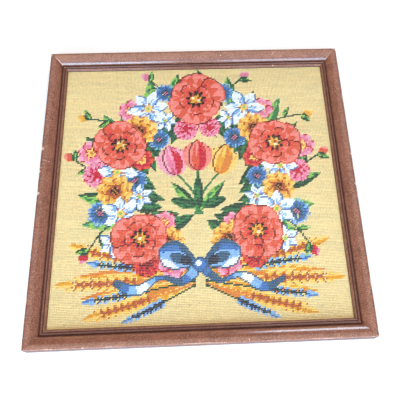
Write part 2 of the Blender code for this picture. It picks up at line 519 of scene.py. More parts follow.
def draw_leaves(chart):
    """Leaves all round the ring, turned outwards and inwards by turns."""
    sorts = (DEEP_LEAF, FRESH_LEAF, DEEP_LEAF, SOFT_LEAF)
    count = 48
    for number in range(count):
        degrees = (number + 0.5) * 360 / count
        outward = number % 2
        if abs(degrees - 180) < 20 and not outward:
            continue
        place = from_top(degrees, WREATH_RADIUS if outward else LEAVES_INNER_RADIUS)
        lean = 30 if degrees < 180 else -30
        turn = 90 - degrees + (lean if outward else 180 + lean)
        length = (26 if outward else 23) + 4 * math.sin(number * 2.1)
        leaf(chart, place, turn, length, 9.5, sorts[number % 4])


def draw_harvest(chart):
    """Straw, wheat and lavender, fanned out on both sides of the bow."""
    # stitches up from the foot, degrees up from level, length, width
    blades = ((3, 9, 62, 9), (0, -1, 74, 9), (-4, -9, 70, 10), (-7, -19, 54, 9))
    # stitches up from the foot, degrees up from level, length, bend, grain, yarns
    ears = (
        (2, 5, 76, 9, 8.5, WHEAT),
        (1, 1, 66, 5, 5.5, LAVENDER),
        (-3, -5, 82, 4, 8.5, WHEAT),
        (-6, -11, 68, 2, 5.5, LAVENDER),
        (-8, -17, 64, 1, 8.5, WHEAT),
        (-9, -27, 46, 1, 5.0, LAVENDER),
    )
    x, y = SHEAF_FOOT
    for side in (-1, 1):
        for up, rise, length, width in blades:
            leaf(chart, (side * x, y + up), 90 - side * (90 - rise), length, width, STRAW)
        for up, rise, length, bend, grain, yarns in ears:
            foot = (side * x, y + up)
            ear(chart, foot, 90 - side * (90 - rise), length, side * bend, grain, yarns)


def draw_wreath(chart):
    """Garden flowers in pairs down both sides of the ring, from the top to the bow."""
    # degrees from the top, reach, sideways bend in degrees, the bud's two yarns
    sprigs = (
        (19, 82, 5, ("pink", "light_pink")),
        (54, 88, 6, ("gold", "light_gold")),
        (87, 85, -6, ("coral", "light_coral")),
        (120, 88, 6, ("crimson", "pink")),
    )
    # degrees from the top, distance from the middle, flower, radius, yarns where it has a choice
    flowers = (
        (18, 66, cornflower, 8, ()),
        (27, 47, lily, 9, ()),
        (13, 36, carnation, 8, (ROSE,)),
        (44, 69, aster, 9, (ROSE,)),
        (43, 38, cornflower, 8, ()),
        (76, 74, aster, 9, (ROSE,)),
        (72, 40, aster, 8, (RED,)),
        (90, 66, carnation, 9, (ROSE,)),
        (93, 41, cornflower, 8, ()),
        (113, 69, cornflower, 9, ()),
        (112, 41, lily, 9, ()),
        (129, 72, lily, 10, ()),
        (149, 67, carnation, 9, (RED,)),
        (146, 40, aster, 8, (ROSE,)),
        (163, 62, aster, 9, (ROSE,)),
        (34, 61, lily, 15, ()),
        (50, 52, rudbeckia, 12, ()),
        (86, 55, lily, 14, ()),
        (102, 56, rudbeckia, 12, ()),
        (118, 56, lily, 14, ()),
        (158, 50, rudbeckia, 11, ()),
        (67, 57, camellia, 18, ()),
        (138, 56, camellia, 17, ()),
    )
    rng = np.random.default_rng(SEED + 5)
    for side in (-1, 1):
        for degrees, reach, bend, bud in sprigs:
            halfway = (degrees + bend * 0.2, (WREATH_RADIUS + reach) / 2)
            places = ((degrees, WREATH_RADIUS), halfway, (degrees + bend, reach))
            sprig(chart, [from_top(side * angle, radius) for angle, radius in places], 9, bud)
        for degrees, radius, flower, size, yarns in flowers:
            around, out, growth = rng.uniform(-1, 1, 3)
            heart = from_top(side * degrees + 1.6 * around, radius + 1.4 * out)
            flower(chart, heart, size * (1 + 0.06 * growth), 90 - side * degrees + 12 * around, *yarns)
    camellia(chart, from_top(0, 58), 20, 90)


def draw_heart(chart):
    """Three tulips, crossed on their stems, in the middle of the ring."""
    for side, yarns in ((-1, ROSE), (1, HONEY), (0, CORAL)):
        neck = (side * 14, 11 - 3 * abs(side))
        chart.line([(-side * 2, -20), (side * 3, -6), neck], 1.2, "green")
        leaf(chart, (side, -18), 90 - side * 40, 26, 7, FRESH_LEAF if side else DEEP_LEAF)
        tulip(chart, (neck[0], neck[1] - 1), 90 - side * 16, 23, yarns)
    for side in (-1, 1):
        leaf(chart, (2 * side, -16), 90 - side * 70, 18, 7, DEEP_LEAF)


def draw_picture():
    """A wreath of garden flowers, wheat ears at its foot, a ribbon bow and tulips in its middle."""
    chart = Chart(STITCHES_ACROSS, STITCHES_DOWN)
    draw_leaves(chart)
    draw_harvest(chart)
    draw_wreath(chart)
    draw_heart(chart)
    bow(chart, KNOT, 24)
    return chart.yarn


# Shader and geometry nodes

class Value:
    """A node's socket, which takes part in sums by adding Math nodes."""

    def __init__(self, tree, socket):
        self.tree = tree
        self.socket = socket

    def maths(self, operation, *others):
        return self.tree.add("ShaderNodeMath", {"operation": operation}, dict(enumerate((self, *others))))

    def __add__(self, other):
        return self.maths("ADD", other)

    def __sub__(self, other):
        return self.maths("SUBTRACT", other)

    def __rsub__(self, other):
        return self.tree.add("ShaderNodeMath", {"operation": "SUBTRACT"}, {0: other, 1: self})

    def __mul__(self, other):
        return self.maths("MULTIPLY", other)

    def __pow__(self, other):
        return self.maths("POWER", other)

    __radd__ = __add__
    __rmul__ = __mul__

    def wave(self):
        """A sine, from 0 to 1."""
        return self.maths("SINE") * 0.5 + 0.5

    def rise(self, low, high):
        """0 up to low and 1 from high on, with a smooth step between."""
        settings = {"interpolation_type": "SMOOTHSTEP"}
        inputs = {"Value": self, "From Min": low, "From Max": high}
        return self.tree.add("ShaderNodeMapRange", settings, inputs)


class Tree:
    """A node tree, with one method for any kind of node."""

    def __init__(self, group):
        self.nodes = group.nodes
        self.links = group.links

    def add(self, kind, settings=None, inputs=None, output=0):
        """Adds a node: its settings first, then its sockets' values or links. Gives one of its outputs."""
        node = self.nodes.new(kind)
        for name, setting in (settings or {}).items():
            setattr(node, name, setting)
        for name, value in (inputs or {}).items():
            if isinstance(value, Value):
                self.links.new(value.socket, node.inputs[name])
            else:
                node.inputs[name].default_value = value
        return Value(self, node.outputs[output]) if len(node.outputs) else node

    def mix(self, share, first, second, blend="MIX"):
        """Two colours, mixed by a share of the second."""
        colours = [value if isinstance(value, Value) else (*value, 1) for value in (first, second)]
        settings = {"data_type": "RGBA", "blend_type": blend}
        return self.add("ShaderNodeMix", settings, {0: share, 6: colours[0], 7: colours[1]}, 2)

    def noise(self, vector, scale, detail=2.0, roughness=0.5):
        inputs = {"Vector": vector, "Scale": scale, "Detail": detail, "Roughness": roughness}
        return self.add("ShaderNodeTexNoise", None, inputs)

    def parts(self, vector):
        """A vector's three numbers."""
        node = self.add("ShaderNodeSeparateXYZ", None, {0: vector}).socket.node
        return [Value(self, socket) for socket in node.outputs]

    def vector(self, x, y, z=0.0):
        return self.add("ShaderNodeCombineXYZ", None, {0: x, 1: y, 2: z})

    def places(self):
        return self.add("ShaderNodeTexCoord", None, None, "Object")

    def attribute(self, name, output):
        return self.add("ShaderNodeAttribute", {"attribute_name": name}, None, output)

    def uv_map(self, name):
        return self.parts(self.add("ShaderNodeUVMap", {"uv_map": name}))

    def bump(self, height, distance):
        return self.add("ShaderNodeBump", None, {"Height": height, "Distance": distance})

    def kept(self, geometry, name, value):
        """A geometry that keeps a value on its points, and the value, for use after it changes."""
        capture = self.add("GeometryNodeCaptureAttribute", None, {"Geometry": geometry})
        node = capture.socket.node
        node.capture_items.new("FLOAT", name)
        self.links.new(value.socket, node.inputs[name])
        return capture, Value(self, node.outputs[name])

    def surface(self, **inputs):
        """The shader, with its sockets by name, spaces as underscores."""
        named = {name.replace("_", " "): value for name, value in inputs.items()}
        shader = self.add("ShaderNodeBsdfPrincipled", None, named)
        self.add("ShaderNodeOutputMaterial", None, {"Surface": shader})


def new_material(name):
    material = bpy.data.materials.new(name)
    material.use_nodes = True
    material.node_tree.nodes.clear()
    return material, Tree(material.node_tree)


def wool_material():
    """Tapestry wool: its own yarn colour, with plies that turn round the strand and a soft fuzz, painted
    lighter on the plies' crests, with painted shade between them and at the strand's ends.
    """
    material, tree = new_material("tapestry_wool")
    along, around, _ = tree.uv_map("strand")
    plies = (along * 15 + around * 12.6).wave()
    fuzz = tree.noise(tree.places(), 2600, 3.0, 0.65)
    dye = tree.noise(tree.places(), 260)
    # painted shade: each strand darker towards both ends, where it dips into the canvas, and between its
    # plies, and painted lighter on the plies' crests; the mix's dark end is the shade's warm tint
    shadow = (along * math.pi).maths("SINE") ** 0.4
    depth = (0.88 + 0.16 * plies + 0.22 * fuzz + 0.10 * dye) * (0.74 + 0.26 * shadow)
    shading = tree.mix(depth.rise(0.6, 1.2), (0.56, 0.485, 0.34), (1.2, 1.2, 1.17))
    tree.surface(
        Base_Color=tree.mix(1.0, tree.attribute("yarn", "Color"), shading, "MULTIPLY"),
        Roughness=0.92,
        Specular_IOR_Level=0.2,
        Sheen_Weight=0.08,
        Sheen_Roughness=0.55,
        Normal=tree.bump(plies * 0.6 + fuzz * 0.5, 0.16 * MM),
    )
    return material


def lacquer_material():
    """Brown lacquer over fine-grained wood: speckled, with painted shade in its grooves and recesses,
    rubbed pale at its edges, and a painted highlight along the bottom rail's outer edge.
    """
    material, tree = new_material("brown_lacquered_wood")
    along, out, _ = tree.uv_map("grain")
    level, wear, matt = tree.parts(tree.attribute("painted_light_and_finish", "Vector"))
    places = tree.places()
    fibres = tree.noise(tree.vector(along * 55, out * 900), 1.0, 5.0, 0.6)
    mottle = tree.noise(places, 70, 4.0, 0.6)
    speckle = tree.noise(places, 640, 2.0, 0.6)
    pits = tree.noise(places, 620, 2.0, 0.6)
    flecks = tree.noise(tree.vector(along * 420, out * 1500), 1.0, 2.0)
    pores = tree.noise(tree.vector(along * 160, out * 2600), 1.0, 3.0)
    chips_and_highlight = (wear + tree.noise(places, 900, 3.0) * 0.5 - 0.25).rise(0.45, 0.62)
    blend = (mottle * 0.6 + fibres * 0.4).rise(0.3, 0.7)
    colour = tree.mix(blend, linear((119, 67, 48)), linear((151, 92, 69)))
    # where it shows and how strongly, and the colour there
    layers = (
        (speckle.rise(0.50, 0.64) * 0.6, (184, 128, 100)),
        (pits.rise(0.57, 0.65) * 0.85, (74, 42, 34)),
        (flecks.rise(0.62, 0.72) * 0.5, (78, 44, 34)),
        # the sight edge: its own olive brown, darkened further as painted shade
        (level.rise(0.3, 1.0) * 0.8, (90, 60, 42)),
        # painted shade: at the band's foot, in the grooves, on the beads, down the outer side and on the
        # side rails' tops
        ((-1 * level).rise(0.0, 1.0) * 0.7, (60, 34, 32)),
        # pale wear at knocks, scratches and mitres, and along the bottom rail's outer edge a painted
        # highlight
        (chips_and_highlight, (210, 168, 146)),
    )
    for share, layer in layers:
        colour = tree.mix(share, colour, linear(layer))
    height = pores * 0.3 + speckle * 0.7 - pits * 0.4 - chips_and_highlight * 0.8
    tree.surface(
        Base_Color=colour,
        Roughness=0.42 + 0.16 * mottle + 0.30 * chips_and_highlight + 0.2 * matt,
        Specular_IOR_Level=0.15,
        Coat_Weight=(1 - 0.85 * matt) * (1 - 0.7 * chips_and_highlight),
        Coat_Roughness=0.15,
        Normal=tree.bump(height, 0.06 * MM),
    )
    return material


def bare_wood_material():
    """The rails' unlacquered backs and rebates."""
    material, tree = new_material("bare_wood")
    along, out, _ = tree.uv_map("grain")
    fibres = tree.noise(tree.vector(along * 30, out * 700), 1.0, 6.0, 0.65)
    rings = (out * 900 + fibres * 5 + along * 4).wave()
    colour = tree.mix(rings * 0.5 + fibres * 0.5, linear((176, 136, 98)), linear((212, 178, 136)))
    stain = tree.noise(tree.places(), 22, 4.0, 0.6)
    colour = tree.mix(stain.rise(0.5, 0.75) * 0.5, colour, linear((140, 98, 68)))
    tree.surface(Base_Color=colour, Roughness=0.78, Normal=tree.bump(fibres, 0.12 * MM))
    return material


def canvas_material():
    """Cotton canvas with its holes painted dark as shade, and the wool's short slanting strokes where it is
    worked, with painted shade between them.
    """
    material, tree = new_material("cotton_canvas")
    worked = tree.attribute("worked", "Fac")
    x, y, _ = tree.parts(tree.places())
    turns = 2 * math.pi / PITCH
    threads = (x * turns).wave().maths("MAXIMUM", (y * turns).wave())
    strokes = ((x * 0.5 + y) * turns).wave()
    fibre = tree.noise(tree.places(), 1800, 3.0, 0.6)
    # painted shade: dark in the holes between the threads, and between the worked strokes
    cotton = tree.mix(threads.rise(0.1, 0.6), linear((120, 100, 74)), linear((226, 212, 184)))
    shading = tree.mix(strokes * 0.7 + fibre * 0.3, (0.52, 0.43, 0.26), (1.08, 1.02, 0.92))
    wool = tree.mix(1.0, tree.attribute("yarn", "Color"), shading, "MULTIPLY")
    height = threads * (1 - worked) + strokes * worked * 1.4 + fibre * 0.3
    tree.surface(
        Base_Color=tree.mix(worked, cotton, wool),
        Roughness=0.95,
        Specular_IOR_Level=0.2,
        Normal=tree.bump(height, 0.35 * MM),
    )
    return material


def floor_material():
    material, tree = new_material("pale_floor")
    grain = tree.noise(tree.places(), 40, 2.0)
    colour = tree.mix(grain, (0.97, 0.97, 0.97), (0.99, 0.99, 0.99))
    tree.surface(Base_Color=colour, Roughness=0.7)
    return material


# Objects, meshes and their values

def placed(name, data):
    """A new object in the scene."""
    item = bpy.data.objects.new(name, data)
    bpy.context.collection.objects.link(item)
    return item


def soft_noise(shape, cell, rng):
    """Smooth noise from -1 to 1, in patches of some rows and columns."""
    rows, columns = shape
    coarse = rng.uniform(-1, 1, (rows // cell[0] + 3, columns // cell[1] + 3))
    down = np.arange(rows) / cell[0]
    across = np.arange(columns) / cell[1]
    row, column = down.astype(int), across.astype(int)
    row_share = ((1 - np.cos((down - row) * np.pi)) / 2)[:, None]
    column_share = (1 - np.cos((across - column) * np.pi)) / 2

    def blended(line):
        return line[:, column] * (1 - column_share) + line[:, column + 1] * column_share

    return blended(coarse[row]) * (1 - row_share) + blended(coarse[row + 1]) * row_share


def stored(items, name, width=1, kind=float):
    """One property of all of a mesh's points, corners or faces."""
    values = np.empty(len(items) * width, kind)
    items.foreach_get(name, values)
    return values.reshape(-1, width) if width > 1 else values


def store(mesh, name, kind, domain, values):
    """Gives a mesh an attribute, with a value for each of its points or faces."""
    field = {"FLOAT": "value", "FLOAT_COLOR": "color", "FLOAT_VECTOR": "vector"}[kind]
    mesh.attributes.new(name, kind, domain).data.foreach_set(field, values.ravel())


def store_map(mesh, name, places):
    """Gives a mesh a UV map, with a place for each of its corners."""
    layer = mesh.uv_layers.new(name=name)
    layer.data.foreach_set("uv", places.astype(np.float32).ravel())


def quads(numbers):
    """The faces of a grid of points, turning to the left."""
    corners = (numbers[:-1, :-1], numbers[:-1, 1:], numbers[1:, 1:], numbers[1:, :-1])
    return np.stack(corners, -1).reshape(-1, 4)


def rim_of(numbers):
    """A grid's outer points once round, from its first corner along its first row."""
    sides = (numbers[0, :-1], numbers[:-1, -1], numbers[-1, :0:-1], numbers[:0:-1, 0])
    return np.concatenate(sides).tolist()


# Wool stitches

def thread_shades(shape, rng):
    """Each needleful of yarn has a shade of its own, along a run of stitches in a row."""
    shades = np.empty(shape)
    for row in shades:
        column = -int(rng.integers(0, NEEDLEFUL_BEFORE_ROW))
        while column < len(row):
            run = int(rng.integers(*NEEDLEFUL_STITCHES))
            row[max(column, 0):max(column + run, 0)] = rng.normal()
            column += run
    return shades


def dyed_colours(yarn):
    """Every stitch's colour as light: its yarn, its needleful's shade and a soft drift over the canvas."""
    rng = np.random.default_rng(SEED)
    colours = np.array([linear(colour) for colour in YARNS.values()])[yarn]
    shades = thread_shades(yarn.shape, rng) * NEEDLEFUL_SPREAD
    single = rng.normal(0, STITCH_SPREAD, yarn.shape)
    drift = soft_noise(yarn.shape, (16, 24), rng) * PATCH_SPREAD
    tint = soft_noise(yarn.shape, (7, 15), rng) * TINT_SPREAD
    colours *= (1 + shades + single + drift)[..., None]
    colours *= 1 + tint[..., None] * np.array([1.0, -0.35, -0.9])
    return np.clip(colours, 0, 1)


def surface_heights(points):
    """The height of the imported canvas's face over each point."""
    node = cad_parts["needlepoint_canvas"]
    tree = BVHTree.FromObject(node, bpy.context.evaluated_depsgraph_get())
    down = Vector((0, 0, -1))
    heights = []
    for x, y in points:
        hit = tree.ray_cast(Vector((x, y, 1)), down)[0]
        heights.append(hit.z)
    return np.array(heights)


def strand_line(tree, length, height):
    """A strand's course bowed over its thread, each point's share along it, and the strand's swell."""
    line = tree.add("GeometryNodeCurvePrimitiveLine", None, {"End": (1, 0, 0)})
    line = tree.add("GeometryNodeResampleCurve", None, {"Curve": line, "Count": 5})
    share = tree.add("GeometryNodeSplineParameter")
    angle = (share - 0.5) * math.pi
    swell = angle.maths("COSINE").maths("MAXIMUM", 0.0)
    place = tree.vector(angle.maths("SINE") * length * 0.5, 0.0, (swell - 1) * height * 0.35)
    line = tree.add("GeometryNodeSetPosition", None, {"Geometry": line, "Position": place})
    line = tree.add("GeometryNodeSetCurveNormal", {"mode": "Z_UP"}, {"Curve": line})
    return *tree.kept(line, "Along", share), swell


def strand_section(tree, width, height):
    """A strand's section, broad below and narrower above, and each point's share around it."""
    half, shoulder = width * 0.5, width * 0.29
    low, high = height * -0.75, height * 0.25
    section = tree.add("GeometryNodeCurvePrimitiveQuadrilateral", {"mode": "POINTS"}, {
        "Point 1": tree.vector(half * -1, low),
        "Point 2": tree.vector(shoulder * -1, high),
        "Point 3": tree.vector(shoulder, high),
        "Point 4": tree.vector(half, low),
    })
    return tree.kept(section, "Around", tree.add("GeometryNodeSplineParameter"))


def stitch_tree():
    """A stitch on every point: a strand that swells, arches over its thread and dips at both ends."""
    group = bpy.data.node_groups.new("worked_stitches", "GeometryNodeTree")
    sockets = group.interface
    sockets.new_socket("Geometry", in_out="OUTPUT", socket_type="NodeSocketGeometry")
    sockets.new_socket("Geometry", in_out="INPUT", socket_type="NodeSocketGeometry")
    sockets.new_socket("Wool", in_out="INPUT", socket_type="NodeSocketMaterial")
    sizes = (
        ("Stitch length", STITCH_LENGTH),
        ("Stitch width", STITCH_WIDTH),
        ("Stitch height", STITCH_HEIGHT),
        ("Slant", STITCH_SLANT),
    )
    for name, size in sizes:
        sockets.new_socket(name, in_out="INPUT", socket_type="NodeSocketFloat").default_value = size
    tree = Tree(group)
    source = tree.add("NodeGroupInput").socket.node
    given = {socket.name: Value(tree, socket) for socket in source.outputs}

    line, along, swell = strand_line(tree, given["Stitch length"], given["Stitch height"])
    section, around = strand_section(tree, given["Stitch width"], given["Stitch height"])
    shape = {"Curve": line, "Profile Curve": section, "Scale": swell ** 0.5}
    strand = tree.add("GeometryNodeCurveToMesh", None, shape)
    strand = tree.add("GeometryNodeStoreNamedAttribute", {"data_type": "FLOAT2", "domain": "CORNER"}, {
        "Geometry": strand, "Name": "strand", "Value": tree.vector(along, around),
    })
    strand = tree.add("GeometryNodeMergeByDistance", None, {"Geometry": strand, "Distance": 0.005 * MM})
    strand = tree.add("GeometryNodeSetShadeSmooth", None, {"Geometry": strand})

    lean, plump = (
        tree.add("GeometryNodeInputNamedAttribute", {"data_type": "FLOAT"}, {"Name": name})
        for name in ("lean", "plump")
    )
    worked = tree.add("GeometryNodeInstanceOnPoints", None, {
        "Points": given["Geometry"],
        "Instance": strand,
        "Rotation": tree.vector(0.0, 0.0, lean + given["Slant"]),
        "Scale": tree.vector(1.0, plump, plump),
    })
    worked = tree.add("GeometryNodeRealizeInstances", None, {"Geometry": worked})
    worked = tree.add("GeometryNodeSetMaterial", None, {"Geometry": worked, "Material": given["Wool"]})
    tree.add("NodeGroupOutput", None, {"Geometry": worked})
    return group


def stitch_points(name, rows, colours, rng):
    """The points of a band of stitches, each with its colour, lean and plumpness."""
    row_numbers, columns = np.meshgrid(rows, np.arange(STITCHES_ACROSS), indexing="ij")
    x = (columns.ravel() - (STITCHES_ACROSS - 1) / 2) * PITCH
    y = (row_numbers.ravel() - (STITCHES_DOWN - 1) / 2) * PITCH
    z = surface_heights(zip(x, y)) - STITCH_HEIGHT * 0.25
    count = len(x)
    mesh = bpy.data.meshes.new(name)
    mesh.from_pydata(np.stack([x, y, z], 1).tolist(), [], [])
    rgba = np.concatenate([colours[rows].reshape(-1, 3), np.ones((count, 1))], 1)
    store(mesh, "yarn", "FLOAT_COLOR", "POINT", rgba)
    store(mesh, "lean", "FLOAT", "POINT", rng.normal(0, SLANT_SPREAD, count))
    store(mesh, "plump", "FLOAT", "POINT", rng.normal(1, PLUMPNESS_SPREAD, count))
    return mesh


def grown(points, group, inputs):
    """The plain mesh that a node tree makes from some points."""
    maker = placed(points.name, points)
    modifier = maker.modifiers.new("nodes", "NODES")
    modifier.node_group = group
    for item in group.interface.items_tree:
        if item.in_out == "INPUT" and item.name in inputs:
            modifier[item.identifier] = inputs[item.name]
    graph = bpy.context.evaluated_depsgraph_get()
    mesh = bpy.data.meshes.new_from_object(
        maker.evaluated_get(graph), preserve_all_data_layers=True, depsgraph=graph
    )
    bpy.data.objects.remove(maker)
    return mesh


def lay_out_band(mesh, rows):
    """The band's UV map: its left half over its right, undersides in a strip below."""
    corners = stored(mesh.loops, "vertex_index", kind=int)
    faces = np.repeat(np.arange(len(mesh.polygons)), stored(mesh.polygons, "loop_total", kind=int))
    under = (stored(mesh.polygons, "normal", 3)[:, 2] < -0.5)[faces]
    per_stitch = len(mesh.polygons) // (len(rows) * STITCHES_ACROSS)
    middles = stored(mesh.polygons, "center", 3).reshape(-1, per_stitch, 3).mean(1)
    right = np.repeat(middles[:, 0] > 0, per_stitch)[faces]
    half_across = (STITCHES_ACROSS + 1) / 2 * PITCH + PITCH
    low, high = ((row - (STITCHES_DOWN - 1) / 2) * PITCH for row in (rows[0] - 1, rows[-1] + 1))
    x, y, _ = stored(mesh.vertices, "co", 3)[corners].T
    u = np.where(right, x + PITCH, half_across + x) / (half_across + PITCH)
    v = ((y - low) / (high - low) + right) / 2
    strip = 0.2
    v = np.where(under, v * strip, strip + v * (1 - strip))
    store_map(mesh, "OFBake", np.stack([u, v], 1))


def add_piece(name, mesh, replaced=()):
    """A finished piece, which rides on the panel's one body."""
    piece = placed(name, mesh)
    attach(piece, "root")
    if replaced:
        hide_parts(*replaced)
    return piece


def add_stitches(colours, wool):
    """The worked picture, in bands of rows from the bottom up."""
    group = stitch_tree()
    rng = np.random.default_rng(SEED + 1)
    bands = []
    for number, rows in enumerate(np.array_split(np.arange(STITCHES_DOWN), STITCH_BANDS), 1):
        name = f"stitches_band_{number}"
        mesh = grown(stitch_points(name, rows, colours, rng), group, {"Wool": wool})
        lay_out_band(mesh, rows)
        bands.append(add_piece(name, mesh))
    return bands


# The canvas

def canvas_mesh():
    """The woven sheet: its back has a cell for every thread crossing, its hidden face fewer."""
    xs = (np.arange(CELLS_ACROSS + 1) - CELLS_ACROSS / 2) * PITCH
    ys = (np.arange(CELLS_DOWN + 1) - CELLS_DOWN / 2) * PITCH
    shrink = 1 - EDGE_CLEARANCE / CANVAS_HIGH.x
    grid_x, grid_y = np.meshgrid(xs * shrink, ys * shrink)
    heights = surface_heights(zip(grid_x.ravel(), grid_y.ravel())).reshape(grid_x.shape)
    back = np.stack([grid_x, grid_y, heights - CANVAS_BACK], -1)
    face = np.stack([grid_x, grid_y, heights - CANVAS_FACE], -1)[::FACE_STEP_DOWN, ::FACE_STEP_ACROSS]
    back_numbers = np.arange(back[..., 0].size).reshape(back.shape[:2])
    face_numbers = back_numbers.size + np.arange(face[..., 0].size).reshape(face.shape[:2])
    faces = quads(back_numbers)[:, ::-1].tolist() + quads(face_numbers).tolist()
    faces += edge_faces(rim_of(back_numbers), rim_of(face_numbers), face.shape)
    mesh = bpy.data.meshes.new("canvas_sheet")
    mesh.from_pydata(np.concatenate([back.reshape(-1, 3), face.reshape(-1, 3)]).tolist(), [], faces)
    return mesh


def edge_faces(back_rim, face_rim, face_shape):
    """The sheet's cut edge: a fan of the back's points to each point of the coarser face."""
    steps = [FACE_STEP_ACROSS] * (face_shape[1] - 1) + [FACE_STEP_DOWN] * (face_shape[0] - 1)
    faces = []
    place = 0
    for number, step in enumerate(steps * 2):
        after = (number + 1) % len(face_rim)
        for _ in range(step):
            beyond = (place + 1) % len(back_rim)
            faces.append((back_rim[place], back_rim[beyond], face_rim[number]))
            place += 1
        faces.append((back_rim[place % len(back_rim)], face_rim[after], face_rim[number]))
    return faces


def dye_canvas(mesh, colours):
    """Shows the worked wool on the back's cells, and bare cotton on all the other faces."""
    cells = (CELLS_DOWN, CELLS_ACROSS)
    inside = slice(BARE_CELLS, -BARE_CELLS)
    yarn = np.ones((len(mesh.polygons), 4))
    worked = np.zeros(len(mesh.polygons))
    yarn[:math.prod(cells)].reshape(*cells, 4)[inside, inside, :3] = colours
    worked[:math.prod(cells)].reshape(cells)[inside, inside] = 1
    store(mesh, "yarn", "FLOAT_COLOR", "FACE", yarn)
    store(mesh, "worked", "FLOAT", "FACE", worked)


def add_canvas(colours, material):
    """The canvas, stretched over the rails' rebates with the stitches on it."""
    mesh = canvas_mesh()
    mesh.materials.append(material)
    dye_canvas(mesh, colours)
    piece = add_piece("canvas_sheet", mesh, ["needlepoint_canvas"])


# The moulding

def arc(centre, radius, start, end, steps):
    """Points on a circle's arc, from one angle to another in degrees."""
    angles = np.radians(np.linspace(start, end, steps + 1))
    return [(centre[0] + radius * math.cos(a), centre[1] + radius * math.sin(a)) for a in angles]


def band(steps):
    """The band's curve from its crest down to its inner foot."""
    angles = np.linspace(0, np.pi / 2, steps + 1)
    inward = np.sin(angles) ** BAND_POWER
    upward = np.clip(np.cos(angles), 0, 1) ** BAND_POWER
    out = BAND_CREST - (BAND_CREST - BAND_INNER) * inward
    return list(zip(out, BAND_FOOT + (MOULDING_HEIGHT - BAND_FOOT) * upward))


def moulding_profile():
    """The section as rows of out, height, level and mattness.

    The level is below 0 where the lacquer is painted darker as shade: at the band's foot, in the
    grooves, on the beads and down the outer side. It is 1 on the sight edge, whose olive brown is
    partly its own and partly painted shade, and 2 on bare wood. The mattness runs from 0, polished,
    to 1, dull.
    """
    arris = (MOULDING_WIDTH - ARRIS_RADIUS, ARRIS_HEIGHT - ARRIS_RADIUS)
    outer_bead = (OUTER_BEAD_CENTRE, OUTER_BEAD_FOOT)
    inner_bead = (INNER_BEAD_CENTRE, INNER_BEAD_FOOT)
    slope = band(26)
    # the points, their level of painted shade and their mattness
    stretches = (
        ([(REBATE_WIDTH, 0), (MOULDING_WIDTH - BACK_EASE, 0)], 2, 1),
        ([(MOULDING_WIDTH, BACK_EASE), (MOULDING_WIDTH, arris[1] - 2 * ARRIS_RADIUS)], -0.5, 1),
        (arc(arris, ARRIS_RADIUS, 0, 15, 1), -0.2, 0.9),
        (arc(arris, ARRIS_RADIUS, 30, 90, 4), 0, 0.1),
        (slope[:-5], 0, 0),
        (slope[-5:-2], -0.3, 0.2),
        (slope[-2:], -0.7, 0.8),
        ([(GROOVE_OUTER, GROOVE_FLOOR), (OUTER_BEAD_CENTRE + OUTER_BEAD_RADIUS, GROOVE_FLOOR)], -1, 1),
        (arc(outer_bead, OUTER_BEAD_RADIUS, 0, 180, 12), -0.66, 0.5),
        ([(OUTER_BEAD_CENTRE - OUTER_BEAD_RADIUS, SLOT_FLOOR)], -1, 1),
        ([(INNER_BEAD_CENTRE + INNER_BEAD_RADIUS, SLOT_FLOOR)], -1, 1),
        (arc(inner_bead, INNER_BEAD_RADIUS, 0, 180, 8), -0.35, 0.25),
        ([(0.08 * MM, SIGHT_EDGE_HEIGHT + 0.06 * MM), (0, SIGHT_EDGE_HEIGHT - 0.1 * MM)], 1, 0.8),
        ([(0, REBATE_CEILING)], 1, 1),
        ([(REBATE_WIDTH, REBATE_CEILING)], 2, 1),
    )
    rows = [(*point, level, matt) for points, level, matt in stretches for point in points]
    return np.array(rows)


def marks_on(name, table):
    """A rail's rows in a table of marks."""
    return [row[1:] for row in table if row[0] == name]


def moulding_rings(name, out, height, sight_length, sight_distance):
    """The sections along a rail, close together at its rounded ends and at its marks.

    After them comes the distance from the rail's middle to the last full section's sight edge.
    """
    corner = np.radians(CORNER_STEPS)
    furthest = MOULDING_WIDTH - CORNER_RADIUS * (1 - np.cos(corner))
    back = CORNER_RADIUS * (math.sin(corner[-1]) - np.sin(corner))
    mitre = MITRE_GAP / 2 * math.sqrt(2)
    reach = sight_length / 2 - mitre - back[0]
    left, right = [], []
    for limit, stand_back in zip(furthest, back):
        along = sight_length / 2 + np.minimum(out, furthest[-1]) - mitre - stand_back
        y = -sight_distance - np.minimum(out, limit)
        left.insert(0, np.stack([-along, y, height], 1))
        right.append(np.stack([along, y, height], 1))
    first, last = left[-1], right[0]
    shares = list(np.linspace(0, 1, RAIL_STEPS + 1)[1:-1])
    marks = [(*mark[:3], (-1, -0.6, -0.2, 0.2, 0.6, 1)) for mark in marks_on(name, KNOCKS)]
    marks += [(mark[0], BAND_CREST / MM, mark[3], (-1, -0.5, 0.5, 1)) for mark in marks_on(name, SCRATCHES)]
    for along, mark_out, radius, steps in marks:
        half_length = reach + mark_out * MM
        shares += [0.5 + (along + radius * step) * MM / half_length / 2 for step in steps]
    between = [first + (last - first) * share for share in sorted(shares) if 0 < share < 1]
    return np.array(left + between + right), reach


def on_top(out, height):
    """Which of the section's points lie on its top, above its outer side and its groove."""
    return height > np.where(out > BAND_CREST, ARRIS_HEIGHT - 2 * ARRIS_RADIUS, BAND_FOOT)


